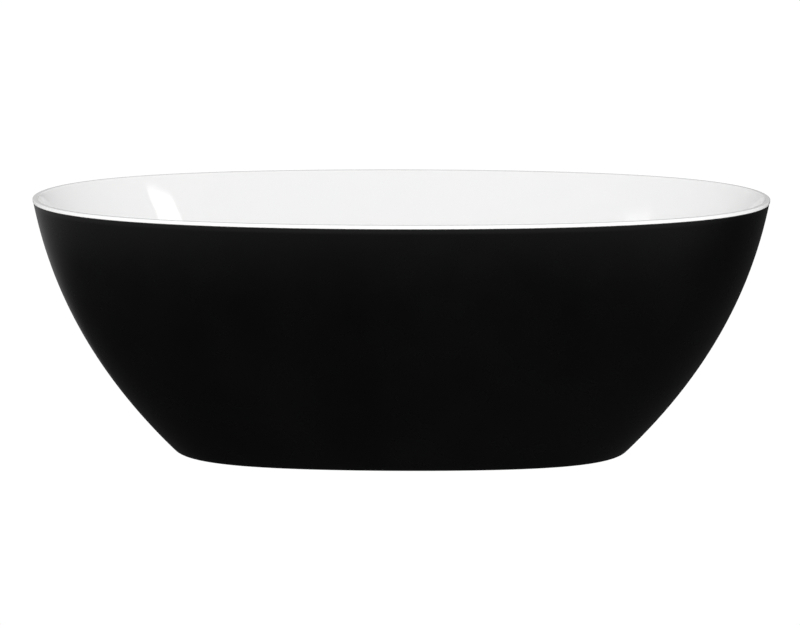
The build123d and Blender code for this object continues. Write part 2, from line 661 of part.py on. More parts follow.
def overflow_body():
    """Slim moulded elbow between the two shells."""
    flange_front = WALL_BACK - OVERFLOW_SEAL
    elbow = rod(OVERFLOW_FLANGE_RADIUS, OVERFLOW_FLANGE_BACK, flange_front)
    elbow += rod(OVERFLOW_CUP_RADIUS, OVERFLOW_BACK, OVERFLOW_FLANGE_BACK)
    elbow += down_wall(STUB_RADIUS, 0, STUB_END)
    elbow -= rod(OVERFLOW_THREAD, OVERFLOW_BACK + 2, flange_front)
    return WALL_PLANE * (elbow - down_wall(STUB_BORE, 0, STUB_END))


def hose_path():
    """Route of the overflow hose: down between the shells, then in under the board."""
    start = WALL_PLANE.from_local_coords((0, HOSE_START, STUB_Z))
    leave = WALL_PLANE.from_local_coords((0, HOSE_START + HOSE_DROP, STUB_Z))
    turn = (0, HOSE_TURN_Y, HOSE_Z)
    return FilletPolyline(start, leave, turn, (0, HOSE_END_Y, HOSE_Z), radius=HOSE_BENDS)


def overflow_hose():
    """Flexible hose, pushed over both stubs."""
    path = hose_path()
    start = Plane(path @ 0, z_dir=path % 0)
    tube = sweep(start * Circle(HOSE_RADIUS), path)
    return tube - sweep(start * Circle(HOSE_BORE), path)


def hose_clips():
    """Band clip over each end of the hose."""
    band = pipe(HOSE_RADIUS + CLIP_THICKNESS, HOSE_RADIUS, 0, CLIP_WIDTH)
    top = WALL_PLANE * (Pos(0, HOSE_START + CLIP_FROM_END, STUB_Z) * Rot(-90, 0, 0) * band)
    bottom = Pos(0, HOSE_END_Y - CLIP_FROM_END, HOSE_Z) * Rot(90, 0, 0) * band
    return top, bottom


def main():
    os.makedirs("parts", exist_ok=True)

    save("basin_shell", basin_shell())
    save("basin_reinforcement", basin_reinforcement())
    save("outer_skirt", outer_skirt())
    save("skirt_reinforcement", skirt_reinforcement())
    save("rim_seal", rim_seal())

    save("base_board", base_board())
    save("frame_rail_front", frame_rail(-1))
    save("frame_rail_rear", frame_rail(1))
    save("cross_member_left", cross_member(-1))
    save("cross_member_right", cross_member(1))
    save("tube_caps", *[cap for pair in mirrored(tube_caps) for cap in pair])
    save("frame_screws", *[frame_screw(x, y) for x in (-CROSS_X, CROSS_X) for y in SCREW_Y])
    save("frame_bolts", *mirrored(frame_bolt))
    save("frame_nuts", *mirrored(frame_nut))
    save("skirt_blocks", *mirrored(skirt_block))
    save("skirt_brackets", *mirrored(skirt_bracket))
    save("bracket_screws", *mirrored(bracket_screw_up), *mirrored(bracket_screw_out))

    save("foot_nuts", *mirrored(foot_nut))
    for number, (pad, stem) in enumerate(zip(mirrored(foot_pad), mirrored(foot_stem)), start=1):
        save(f"foot_pad_{number}", pad)
        save(f"foot_stem_{number}", stem)

    save("drain_flange", drain_flange())
    save("drain_seal", pipe(SEAL_RADIUS, SEAL_BORE, DRAIN_SEAT_Z, FLANGE_Z))
    save("drain_gasket", pipe(WASTE_FLANGE_RADIUS, SEAL_BORE, GASKET_BOTTOM, BOARD_TOP))
    save("waste_body", waste_body())
    save("plug_cartridge", plug_cartridge())
    save("drain_plug", drain_plug())
    save("plug_seal", pipe(PLUG_SEAL_RADIUS, PLUG_SEAL_BORE, PLUG_SEAL_Z, PLUG_CAP_Z))
    save("plug_spring", plug_spring())
    save("outlet_washer", pipe(OUTLET_COLLAR_RADIUS, OUTLET_RADIUS, WASTE_BOTTOM - WASHER, WASTE_BOTTOM))
    save("outlet_nut", outlet_nut())
    save("outlet_pipe", outlet_pipe())

    save("overflow_cover", overflow_cover())
    save("overflow_screw", overflow_screw())
    save("overflow_ring", overflow_ring())
    save("overflow_gasket", overflow_gasket())
    save("overflow_body", overflow_body())
    save("overflow_hose", overflow_hose())
    save("hose_clips", *hose_clips())


main()
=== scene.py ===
import json
from math import atan, ceil, cos, pi, radians, sin, tan

import bmesh
import bpy
import numpy as np
from mathutils import Matrix, Vector


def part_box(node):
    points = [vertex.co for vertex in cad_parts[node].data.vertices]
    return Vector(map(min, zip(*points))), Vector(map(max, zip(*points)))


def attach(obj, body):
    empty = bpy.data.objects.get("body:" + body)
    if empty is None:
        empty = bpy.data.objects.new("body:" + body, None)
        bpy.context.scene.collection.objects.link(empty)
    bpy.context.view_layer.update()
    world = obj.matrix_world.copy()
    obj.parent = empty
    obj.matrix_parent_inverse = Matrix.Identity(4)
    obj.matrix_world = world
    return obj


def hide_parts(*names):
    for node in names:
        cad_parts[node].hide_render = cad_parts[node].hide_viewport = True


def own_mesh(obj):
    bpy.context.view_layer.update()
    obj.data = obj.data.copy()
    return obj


# Freestanding bath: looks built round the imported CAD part. Metres, in the part's own frame.

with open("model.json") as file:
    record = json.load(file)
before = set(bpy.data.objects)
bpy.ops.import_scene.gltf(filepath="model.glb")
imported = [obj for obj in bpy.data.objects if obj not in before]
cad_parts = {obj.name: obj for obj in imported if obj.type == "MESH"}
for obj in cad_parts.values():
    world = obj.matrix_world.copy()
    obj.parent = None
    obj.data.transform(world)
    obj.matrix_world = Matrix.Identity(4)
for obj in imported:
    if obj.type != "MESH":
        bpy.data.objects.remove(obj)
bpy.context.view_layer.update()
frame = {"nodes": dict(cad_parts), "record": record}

# ---- dimensions of the shells, as in the CAD part ----
BATH_LENGTH = 1.7
BATH_WIDTH = 0.82
BATH_HEIGHT = 0.59
FOOTPRINT_LENGTH = 1.0814
FOOTPRINT_WIDTH = 0.4996
ACRYLIC = 0.005
FLARE_LINEAR = 1.842
FLARE_SQUARE = -0.99
FULLNESS_FLOOR = 0.197
FULLNESS_MIDDLE = 0.142
FULLNESS_RIM = 0.096
SKIRT_BOTTOM = 0.003
RIM_THICKNESS = 0.0075
SKIRT_TOP = 0.5815
SKIRT_FLANGE_WIDTH = 0.006
RIM_WIDTH = 0.012
RIM_OUTER_ROUND = 0.002
RIM_INNER_ROUND = 0.004
FLOOR_Z = 0.158
DRAIN_SEAT_Z = 0.152
DRAIN_SEAT_RADIUS = 0.045
DRAIN_HOLE = 0.026
WELL_FLOOR_HALF_LENGTH = 0.6
WELL_FLOOR_HALF_WIDTH = 0.258
WELL_END_BULGE = 0.27
WELL_SIDE_BULGE = -0.14
WELL_FULLNESS_FLOOR = 0.15
CORNER_HEIGHT = 0.1
CORNER_END = 0.13
CORNER_SIDE = 0.09
CORNER_STOP = 87.5
OVERFLOW_Z = 0.452
OVERFLOW_HOLE = 0.0165

WALL_LEAN_AT_RIM = radians(21)  # of the well's wall, from upright

FULL_TURN = 2 * pi
SHELL_AROUND = 320              # points round each shell
ROUND_AROUND = 96               # points round a turned piece
SHARP_ANGLE = radians(32)


# ---- meshes, as (points, faces) ----
def skin(rings, closed=True):
    """Quads between rings of points; closed joins the last ring to the first, else both ends are filled."""
    around = len(rings[0])
    count = len(rings)
    faces = []
    for ring in range(count if closed else count - 1):
        here, there = ring * around, (ring + 1) % count * around
        for step in range(around):
            after = (step + 1) % around
            faces.append((here + step, here + after, there + after, there + step))
    if not closed:
        faces.append(tuple(range(around - 1, -1, -1)))
        faces.append(tuple(range((count - 1) * around, count * around)))
    return np.concatenate(rings), faces


def joined(*parts):
    """Several meshes as one."""
    points, faces, start = [], [], 0
    for part_points, part_faces in parts:
        points.append(part_points)
        faces += [tuple(index + start for index in face) for face in part_faces]
        start += len(part_points)
    return np.concatenate(points), faces


def placed(mesh, matrix):
    """The mesh moved by a matrix."""
    points, faces = mesh
    turned = np.array(matrix.to_3x3()) @ np.asarray(points).T
    return turned.T + np.array(matrix.translation), faces


def arc_through(start, corner, end, weight, steps):
    """Circular arc that leaves start and reaches end along the two lines through the corner."""
    arc = []
    for share in np.linspace(0, 1, steps):
        near, middle, far = (1 - share) ** 2, 2 * weight * share * (1 - share), share ** 2
        arc.append((near * start + middle * corner + far * end) / (near + middle + far))
    return arc


def soften(corners, steps=5):
    """Closed profile of (radius, height, rounding) corners, each rounded as it says."""
    points = [np.array(corner[:2], float) for corner in corners]
    profile = []
    for index, corner in enumerate(corners):
        here, before, after = points[index], points[index - 1], points[(index + 1) % len(points)]
        if corner[2] == 0:
            profile.append(here)
            continue
        towards, away = before - here, after - here
        reach_in, reach_out = np.linalg.norm(towards), np.linalg.norm(away)
        towards, away = towards / reach_in, away / reach_out
        half_angle = np.arccos(np.clip(towards @ away, -1, 1)) / 2
        tangent = min(corner[2] / tan(half_angle), 0.49 * reach_in, 0.49 * reach_out)
        profile += arc_through(here + towards * tangent, here, here + away * tangent, sin(half_angle), steps)
    return profile


def lathe(profile, around=ROUND_AROUND):
    """Solid of revolution about Z from a closed profile of (radius, height)."""
    turn = np.linspace(0, FULL_TURN, around, endpoint=False)
    rings = [np.stack([r * np.cos(turn), r * np.sin(turn), np.full(around, z)], axis=1) for r, z in profile]
    return skin(rings)


def part_lathe(profile, start, end, around=ROUND_AROUND):
    """Part of a solid of revolution, with flat ends."""
    turn = np.linspace(start, end, around)
    shape = np.array(profile)
    rings = [np.stack([shape[:, 0] * cos(t), shape[:, 0] * sin(t), shape[:, 1]], axis=1) for t in turn]
    return skin(rings, closed=False)


def bar(low, high):
    """Box from its lowest to its highest corner."""
    (x0, y0, z0), (x1, y1, z1) = low, high
    square = np.array([(x0, y0), (x1, y0), (x1, y1), (x0, y1)])
    return skin([np.column_stack([square, np.full(4, z)]) for z in (z0, z1)], closed=False)


def hexagon_ring(across_flats, z, limit, around=ROUND_AROUND):
    """Hexagonal outline whose corners are cut back to a circle."""
    turn = np.linspace(0, FULL_TURN, around, endpoint=False)
    from_flat = (turn % (pi / 3)) - pi / 6
    radius = np.minimum(across_flats / 2 / np.cos(from_flat), limit)
    return np.stack([radius * np.cos(turn), radius * np.sin(turn), np.full(around, z)], axis=1)


def circle_ring(radius, z, around=ROUND_AROUND):
    """Circle of points at one height."""
    turn = np.linspace(0, FULL_TURN, around, endpoint=False)
    return np.stack([radius * np.cos(turn), radius * np.sin(turn), np.full(around, z)], axis=1)


def hexagon_collar(across_flats, low, high, bore, chamfer):
    """Hexagon with a round bore and turned-off corners at both faces."""
    corner = across_flats / 2 / cos(pi / 6)
    rings = [
        circle_ring(bore, low), hexagon_ring(across_flats, low, corner - chamfer),
        hexagon_ring(across_flats, low + chamfer * 0.6, corner),
        hexagon_ring(across_flats, high - chamfer * 0.6, corner),
        hexagon_ring(across_flats, high, corner - chamfer), circle_ring(bore, high),
    ]
    return skin(rings)


def thread(radius, depth, pitch, low, high, around=36, per_pitch=6):
    """Rod with a screw thread that runs out at both ends."""
    turn = np.linspace(0, FULL_TURN, around, endpoint=False)
    rings = []
    for z in np.linspace(low, high, ceil((high - low) / pitch * per_pitch) + 1):
        ridge = np.abs(2 * ((z / pitch - turn / FULL_TURN) % 1) - 1)
        runout = min(1.0, (z - low) / pitch, (high - z) / pitch)
        cut = depth * np.clip(1.3 * ridge - 0.15, 0, 1) * max(runout, 0)
        end_chamfer = max(0.0, 0.001 - (high - z))
        reach = radius - cut - end_chamfer
        rings.append(np.stack([reach * np.cos(turn), reach * np.sin(turn), np.full(around, z)], axis=1))
    return skin(rings, closed=False)


def swept(path, radii, around=28):
    """Tube of changing radius along a path in the plane X = 0."""
    turn = np.linspace(0, FULL_TURN, around, endpoint=False)
    forward = np.gradient(path, axis=0)
    forward /= np.linalg.norm(forward, axis=1)[:, None]
    side = np.array([1.0, 0.0, 0.0])
    rings = []
    for point, ahead, radius in zip(path, forward, radii):
        across = np.cross(ahead, side)
        rings.append(point + radius * (np.outer(np.cos(turn), side) + np.outer(np.sin(turn), across)))
    return rings


# ---- shell surfaces ----
def outline(half_length, half_width, fullness, z):
    """Smooth closed plan outline at one height."""
    turn = np.linspace(0, FULL_TURN, SHELL_AROUND, endpoint=False)
    x = half_length * np.cos(turn) * (1 + fullness * np.sin(turn) ** 2)
    y = half_width * np.sin(turn) * (1 + fullness * np.cos(turn) ** 2)
    return np.stack([x, y, np.full(SHELL_AROUND, z)], axis=1)


def skirt_outline(z, inset=0.0, square_inset=0.0):
    """Skirt's outline, inset square to the wall, or level by the square inset."""
    u = z / BATH_HEIGHT
    cubic = 1 - FLARE_LINEAR - FLARE_SQUARE
    share = FLARE_LINEAR * u + FLARE_SQUARE * u ** 2 + cubic * u ** 3
    steepness = (FLARE_LINEAR + 2 * FLARE_SQUARE * u + 3 * cubic * u ** 2) / BATH_HEIGHT
    size = []
    for top, bottom in ((BATH_LENGTH, FOOTPRINT_LENGTH), (BATH_WIDTH, FOOTPRINT_WIDTH)):
        slope = atan((top - bottom) / 2 * steepness)
        size.append(bottom / 2 + (top - bottom) / 2 * share - inset / cos(slope) - square_inset)
    fullness = FULLNESS_FLOOR * (1 - u) ** 2 + 2 * FULLNESS_MIDDLE * u * (1 - u) + FULLNESS_RIM * u ** 2
    return outline(size[0], size[1], fullness, z)


def well_size(z, offset=0.0):
    """Half length, half width and fullness of the well's wall, carried straight through the corner."""
    u = (z - FLOOR_Z) / (BATH_HEIGHT - FLOOR_Z)
    size = []
    for rim, floor, bulge in (
        (BATH_LENGTH / 2 - RIM_WIDTH, WELL_FLOOR_HALF_LENGTH, WELL_END_BULGE),
        (BATH_WIDTH / 2 - RIM_WIDTH, WELL_FLOOR_HALF_WIDTH, WELL_SIDE_BULGE),
    ):
        slope = atan((rim - floor) / (BATH_HEIGHT - FLOOR_Z) * (1 + bulge * (1 - 2 * u)))
        size.append(floor + (rim - floor) * (u + bulge * u * (1 - u)) + offset / cos(slope))
    return size[0], size[1], FULLNESS_RIM + (WELL_FULLNESS_FLOOR - FULLNESS_RIM) * (1 - u)


def well_corner(share, offset):
    """Outline part of the way round the corner between walls and floor."""
    angle = radians(CORNER_STOP * share)
    z = FLOOR_Z + CORNER_HEIGHT - (CORNER_HEIGHT + offset) * sin(angle)
    half_length, half_width, fullness = well_size(z, offset)
    half_length -= (CORNER_END + offset) * (1 - cos(angle))
    half_width -= (CORNER_SIDE + offset) * (1 - cos(angle))
    return outline(half_length, half_width, fullness, z)


def well_surface(top, offset, wall_steps, corner_steps, floor_steps):
    """Rings of one face of the basin, from the drain hole up to a height."""
    seat_z = DRAIN_SEAT_Z - offset
    seat = outline(DRAIN_SEAT_RADIUS, DRAIN_SEAT_RADIUS, 0, seat_z)
    foot = well_corner(1, offset)
    rings = [outline(r, r, 0, seat_z) for r in (DRAIN_HOLE, 0.03, 0.036, 0.041)]
    rings += [seat + (foot - seat) * share for share in np.linspace(0, 1, floor_steps)]
    rings += [well_corner(share, offset) for share in np.linspace(1, 0, corner_steps)[1:]]
    heights = np.linspace(FLOOR_Z + CORNER_HEIGHT, top, wall_steps)[1:]
    return rings + [outline(*well_size(z, offset), z) for z in heights]


def rim_outline(inset, z):
    """The rim's outline, inset level all round."""
    return outline(BATH_LENGTH / 2 - inset, BATH_WIDTH / 2 - inset, FULLNESS_RIM, z)


def basin_mesh():
    """Inner bath with its rolled rim, from the drain hole up, over the rim and down the outside."""
    half_turn = (pi / 2 - WALL_LEAN_AT_RIM) / 2
    tangent = RIM_INNER_ROUND * tan(half_turn)
    wall_top = BATH_HEIGHT - tangent * cos(WALL_LEAN_AT_RIM)
    rings = well_surface(wall_top, 0.0, 34, 22, 22)
    mouth = outline(*well_size(BATH_HEIGHT), BATH_HEIGHT)
    rim_start = rim_outline(RIM_WIDTH - tangent, BATH_HEIGHT)
    rings += arc_through(rings[-1], mouth, rim_start, cos(half_turn), 10)[1:]
    rings += [rim_outline(inset, BATH_HEIGHT) for inset in (RIM_WIDTH - tangent - 0.0006, 0.0055, 0.0026)]
    edge_start = rim_outline(RIM_OUTER_ROUND, BATH_HEIGHT)
    edge_end = rim_outline(0, BATH_HEIGHT - RIM_OUTER_ROUND)
    rings += arc_through(edge_start, rim_outline(0, BATH_HEIGHT), edge_end, cos(pi / 4), 8)
    underside = BATH_HEIGHT - RIM_THICKNESS
    ease = 0.0006
    rings += [rim_outline(0, underside + ease), rim_outline(ease / 3, underside + ease / 3)]
    rings.append(rim_outline(ease, underside))
    rings += well_surface(underside, ACRYLIC, 14, 14, 8)[::-1]
    return skin(rings)


def skirt_mesh():
    """Flared outer shell with its turned-in flange at the top and an eased lower edge."""
    ease = 0.0012
    outside = [skirt_outline(SKIRT_BOTTOM, 0, ease), skirt_outline(SKIRT_BOTTOM + ease * 0.3, 0, ease * 0.3)]
    outside += [skirt_outline(z) for z in np.linspace(SKIRT_BOTTOM + ease, SKIRT_TOP - ease, 56)]
    outside += [skirt_outline(SKIRT_TOP - ease * 0.3, 0, ease * 0.3), skirt_outline(SKIRT_TOP, 0, ease)]
    flange_under = SKIRT_TOP - ACRYLIC
    flange = [skirt_outline(SKIRT_TOP, 0, SKIRT_FLANGE_WIDTH)]
    lip = skirt_outline(SKIRT_TOP, 0, SKIRT_FLANGE_WIDTH)
    lip[:, 2] = flange_under
    inside = [skirt_outline(z, ACRYLIC) for z in np.linspace(flange_under, SKIRT_BOTTOM, 30)]
    return skin(outside + flange + [lip] + inside)


# ---- finishes ----
class Finish:
    """One procedural material."""

    def __init__(self, name, metallic=0.0, specular=0.5):
        self.material = bpy.data.materials.new(name)
        self.material.use_nodes = True
        self.nodes = self.material.node_tree.nodes
        self.links = self.material.node_tree.links
        self.shader = self.nodes["Principled BSDF"]
        self.shader.inputs["Metallic"].default_value = metallic
        self.shader.inputs["Specular IOR Level"].default_value = specular
        self.place = self.nodes.new("ShaderNodeTexCoord").outputs["Object"]
        self.last_bump = None

    def mapped(self, stretch, turn):
        mapping = self.nodes.new("ShaderNodeMapping")
        mapping.inputs["Scale"].default_value = stretch
        mapping.inputs["Rotation"].default_value = turn
        self.links.new(self.place, mapping.inputs["Vector"])
        return mapping.outputs["Vector"]

    def noise(self, scale, detail=3.0, stretch=(1, 1, 1), turn=(0, 0, 0), distortion=0.0):
        node = self.nodes.new("ShaderNodeTexNoise")
        node.inputs["Scale"].default_value = scale
        node.inputs["Detail"].default_value = detail
        node.inputs["Distortion"].default_value = distortion
        self.links.new(self.mapped(stretch, turn), node.inputs["Vector"])
        return node.outputs["Fac"]

    def cells(self, scale, stretch=(1, 1, 1), turn=(0, 0, 0)):
        """A random grey for each cell."""
        node = self.nodes.new("ShaderNodeTexVoronoi")
        node.inputs["Scale"].default_value = scale
        self.links.new(self.mapped(stretch, turn), node.inputs["Vector"])
        grey = self.nodes.new("ShaderNodeRGBToBW")
        self.links.new(node.outputs["Color"], grey.inputs["Color"])
        return grey.outputs["Val"]

    def bands(self, direction, scale, distortion=0.0, detail=2.0):
        node = self.nodes.new("ShaderNodeTexWave")
        node.bands_direction = direction
        node.inputs["Scale"].default_value = scale
        node.inputs["Distortion"].default_value = distortion
        node.inputs["Detail"].default_value = detail
        self.links.new(self.place, node.inputs["Vector"])
        return node.outputs["Fac"]

    def math(self, operation, first, second):
        node = self.nodes.new("ShaderNodeMath")
        node.operation = operation
        for socket, value in zip(node.inputs, (first, second)):
            if isinstance(value, (int, float)):
                socket.default_value = value
            else:
                self.links.new(value, socket)
        return node.outputs["Value"]

    def ramp(self, factor, *stops):
        """Colour from a factor, through stops of (position, colour)."""
        node = self.nodes.new("ShaderNodeValToRGB")
        elements = node.color_ramp.elements
        for index, (position, colour) in enumerate(stops):
            element = elements[index] if index < 2 else elements.new(position)
            element.position = position
            element.color = (*colour, 1)
        self.links.new(factor, node.inputs["Fac"])
        return node.outputs["Color"]

    def blend(self, factor, first, second):
        node = self.nodes.new("ShaderNodeMix")
        node.data_type = "RGBA"
        self.links.new(factor, node.inputs[0])
        self.links.new(first, node.inputs[6])
        self.links.new(second, node.inputs[7])
        return node.outputs[2]

    def side_facing(self):
        """1 on upright faces, 0 on level ones."""
        normal = self.nodes.new("ShaderNodeSeparateXYZ")
        self.links.new(self.nodes.new("ShaderNodeNewGeometry").outputs["Normal"], normal.inputs[0])
        level = self.math("ABSOLUTE", normal.outputs["Z"], 0)
        return self.math("LESS_THAN", level, 0.5)

    def colour(self, output):
        self.links.new(output, self.shader.inputs["Base Color"])

    def gloss(self, factor, low, high):
        """Roughness that varies with a factor."""
        node = self.nodes.new("ShaderNodeMapRange")
        node.inputs["From Min"].default_value = 0.3
        node.inputs["From Max"].default_value = 0.7
        node.inputs["To Min"].default_value = low
        node.inputs["To Max"].default_value = high
        self.links.new(factor, node.inputs["Value"])
        self.links.new(node.outputs["Result"], self.shader.inputs["Roughness"])

    def relief(self, height, distance, strength=1.0):
        node = self.nodes.new("ShaderNodeBump")
        node.inputs["Distance"].default_value = distance
        node.inputs["Strength"].default_value = strength
        self.links.new(height, node.inputs["Height"])
        if self.last_bump:
            self.links.new(self.last_bump, node.inputs["Normal"])
        self.last_bump = node.outputs["Normal"]
        self.links.new(self.last_bump, self.shader.inputs["Normal"])


def white_acrylic():
    finish = Finish("white_acrylic")
    shade = finish.noise(2.2)
    finish.colour(finish.ramp(shade, (0.35, (0.915, 0.915, 0.915)), (0.65, (0.925, 0.925, 0.923))))
    finish.gloss(finish.noise(9, 4), 0.03, 0.055)
    finish.relief(finish.noise(7, 1), 0.0006, 0.08)
    return finish.material


def black_acrylic():
    finish = Finish("black_acrylic", specular=0.42)
    shade = finish.noise(3)
    finish.colour(finish.ramp(shade, (0.35, (0.0004, 0.0004, 0.0005)), (0.65, (0.0009, 0.0009, 0.001))))
    finish.gloss(finish.noise(11, 4), 0.24, 0.29)
    finish.relief(finish.noise(420, 2), 0.00008, 0.35)
    return finish.material


def chrome():
    finish = Finish("chrome", metallic=1.0)
    finish.colour(finish.ramp(finish.noise(30), (0.3, (0.74, 0.75, 0.77)), (0.7, (0.82, 0.83, 0.84))))
    finish.gloss(finish.noise(60, 5), 0.04, 0.11)
    finish.relief(finish.noise(90, 2), 0.0001, 0.1)
    return finish.material


def zinc():
    finish = Finish("zinc_plate", metallic=1.0)
    patches = finish.noise(55, 3)
    dull, bright, straw = (0.52, 0.52, 0.5), (0.62, 0.63, 0.64), (0.66, 0.64, 0.56)
    finish.colour(finish.ramp(patches, (0.3, dull), (0.5, bright), (0.7, straw)))
    finish.gloss(finish.noise(160, 4), 0.28, 0.46)
    finish.relief(finish.noise(700, 3), 0.00006, 0.4)
    return finish.material


def galvanised():
    """Zinc spangle: crystals of slightly different greys and gloss."""
    finish = Finish("galvanised_steel", metallic=0.9)
    spangle = finish.cells(75, (1, 1.25, 1.1))
    finish.colour(finish.ramp(spangle, (0.15, (0.4, 0.42, 0.44)), (0.85, (0.6, 0.62, 0.64))))
    finish.gloss(spangle, 0.3, 0.52)
    finish.relief(finish.noise(240, 4), 0.0001, 0.4)
    return finish.material


def spring_steel():
    finish = Finish("spring_steel", metallic=1.0)
    finish.colour(finish.ramp(finish.noise(220), (0.3, (0.4, 0.4, 0.41)), (0.7, (0.54, 0.54, 0.55))))
    finish.gloss(finish.noise(500, 3), 0.22, 0.36)
    return finish.material


def laminate():
    """Rolled glass-fibre mat: short strands lying every way in a translucent resin."""
    finish = Finish("glass_fibre_laminate")
    strands = None
    for index, angle in enumerate((0.2, 0.95, 1.7, 2.5)):
        lying = finish.noise(26, 2, (1, 9, 9), (0.4 * index, 0.3 * index, angle), 0.4)
        strands = lying if strands is None else finish.math("MAXIMUM", strands, lying)
    resin, mixed, fibre = (0.5, 0.46, 0.34), (0.63, 0.6, 0.49), (0.78, 0.76, 0.68)
    finish.colour(finish.ramp(strands, (0.5, resin), (0.62, mixed), (0.74, fibre)))
    finish.gloss(finish.noise(14, 4), 0.32, 0.6)
    finish.relief(strands, 0.0012, 0.7)
    finish.relief(finish.noise(18, 3), 0.003, 0.5)
    return finish.material


def plywood():
    """Birch plywood: veneer figure on the faces, thin crossed plies along the edges."""
    finish = Finish("plywood")
    figure = finish.noise(7, 5, (1, 14, 1), (0, 0, 0), 1.2)
    dark, middle, pale = (0.42, 0.27, 0.13), (0.58, 0.41, 0.23), (0.7, 0.53, 0.34)
    face = finish.ramp(figure, (0.32, dark), (0.5, middle), (0.7, pale))
    plies = finish.bands("Z", 92, 0.25)
    edge = finish.ramp(plies, (0.35, (0.26, 0.15, 0.07)), (0.6, (0.62, 0.46, 0.27)))
    finish.colour(finish.blend(finish.side_facing(), face, edge))
    finish.gloss(finish.noise(30, 3), 0.55, 0.75)
    finish.relief(figure, 0.0005, 0.5)
    return finish.material


def timber():
    finish = Finish("softwood")
    rings = finish.noise(9, 4, (1, 10, 10), (0.1, 0.2, 0.1), 1.6)
    late, middle, early = (0.42, 0.25, 0.11), (0.62, 0.44, 0.24), (0.74, 0.58, 0.36)
    finish.colour(finish.ramp(rings, (0.34, late), (0.5, middle), (0.68, early)))
    finish.gloss(finish.noise(40, 3), 0.5, 0.7)
    finish.relief(rings, 0.0006, 0.6)
    return finish.material


def rubber():
    finish = Finish("rubber", specular=0.35)
    shade = finish.noise(60, 4)
    finish.colour(finish.ramp(shade, (0.3, (0.018, 0.018, 0.018)), (0.7, (0.045, 0.044, 0.042))))
    finish.gloss(finish.noise(120, 3), 0.62, 0.82)
    finish.relief(finish.noise(900, 2), 0.00008, 0.5)
    return finish.material


def sealant():
    finish = Finish("sealant")
    finish.colour(finish.ramp(finish.noise(30, 3), (0.3, (0.66, 0.66, 0.63)), (0.7, (0.78, 0.78, 0.76))))
    finish.gloss(finish.noise(50, 3), 0.4, 0.6)
    finish.relief(finish.noise(130, 2), 0.0004, 0.4)
    return finish.material


def moulding(name, dark, light, low, high, grain):
    """Injection-moulded plastic with a fine spark texture and faint flow marks."""
    finish = Finish(name)
    finish.colour(finish.ramp(finish.noise(16, 4, (1, 1, 2.5), (0, 0, 0), 0.8), (0.3, dark), (0.7, light)))
    finish.gloss(finish.noise(70, 4), low, high)
    finish.relief(finish.noise(grain, 2), 0.00008, 0.45)
    return finish.material


FINISHES = {
    "acrylic_white": white_acrylic(),
    "acrylic_black": black_acrylic(),
    "laminate": laminate(),
    "plywood": plywood(),
    "timber": timber(),
    "frame_steel": galvanised(),
    "zinc": zinc(),
    "chrome": chrome(),
    "spring_steel": spring_steel(),
    "rubber": rubber(),
    "sealant": sealant(),
    "plastic_white": moulding("white_polypropylene", (0.7, 0.7, 0.68), (0.78, 0.78, 0.76), 0.32, 0.46, 600),
    "plastic_grey": moulding("grey_hose", (0.24, 0.25, 0.26), (0.33, 0.34, 0.35), 0.36, 0.5, 450),
    "plastic_black": moulding("black_nylon", (0.016, 0.016, 0.017), (0.034, 0.034, 0.035), 0.38, 0.55, 800),
}

for subpart in frame["record"]["subparts"]:
    node = frame["nodes"][subpart["node"]]
    for index in range(len(node.material_slots)):
        node.material_slots[index].material = FINISHES[subpart["material_slot"]]


# ---- pieces ----
def new_object(name, mesh):
    """Object of one mesh, its normals turned outwards."""
    points, faces = mesh
    data = bpy.data.meshes.new(name)
    data.from_pydata([tuple(point) for point in points], [], faces)
    work = bmesh.new()
    work.from_mesh(data)
    bmesh.ops.remove_doubles(work, verts=work.verts, dist=1e-7)
    bmesh.ops.recalc_face_normals(work, faces=work.faces)
    work.to_mesh(data)
    work.free()
    made = bpy.data.objects.new(name, data)
    bpy.context.scene.collection.objects.link(made)
    return made


def piece(name, mesh, slot, body, *nodes):
    """New object that stands for CAD nodes, in the finish of one of the record's slots."""
    made = new_object(name, mesh)
    made.data.shade_smooth()
    made.data.set_sharp_from_angle(angle=SHARP_ANGLE)
    made.data.materials.append(FINISHES[slot])
    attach(made, body)
    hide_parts(*nodes)
    return made


def rod_profile(radius, low, high, rounding=0.0006):
    """Profile of a plain rod with eased ends."""
    return soften([(0, low, 0), (radius, low, rounding), (radius, high, rounding), (0, high, 0)])


def tube_profile(radius, bore, low, high, rounding=0.0004):
    """Profile of a plain tube with eased ends."""
    corners = [(bore, low), (radius, low), (radius, high), (bore, high)]
    return soften([(*corner, rounding) for corner in corners])


overflow_half_width = well_size(OVERFLOW_Z)[1]
overflow_slope = atan(
    (BATH_WIDTH / 2 - RIM_WIDTH - WELL_FLOOR_HALF_WIDTH) / (BATH_HEIGHT - FLOOR_Z)
    * (1 + WELL_SIDE_BULGE * (1 - 2 * (OVERFLOW_Z - FLOOR_Z) / (BATH_HEIGHT - FLOOR_Z)))
)
# seen from inside the bath: local z points into the well, local y runs down the wall
WALL_PLANE = Matrix((
    (1, 0, 0, 0),
    (0, sin(overflow_slope), cos(overflow_slope), -overflow_half_width),
    (0, -cos(overflow_slope), sin(overflow_slope), OVERFLOW_Z),
    (0, 0, 0, 1),
))


def cut_overflow_hole(basin):
    """Round hole through the front wall behind the overflow's ring."""
    tool = new_object("hole", placed(lathe(rod_profile(OVERFLOW_HOLE, -0.025, 0.025, 0), 64), WALL_PLANE))
    cut = basin.modifiers.new("hole", "BOOLEAN")
    cut.operation = "DIFFERENCE"
    cut.solver = "EXACT"
    cut.object = tool
    graph = bpy.context.evaluated_depsgraph_get()
    whole = basin.data
    basin.data = bpy.data.meshes.new_from_object(basin.evaluated_get(graph))
    basin.modifiers.clear()
    bpy.data.meshes.remove(whole)
    bpy.data.objects.remove(tool)
    basin.data.set_sharp_from_angle(angle=SHARP_ANGLE)


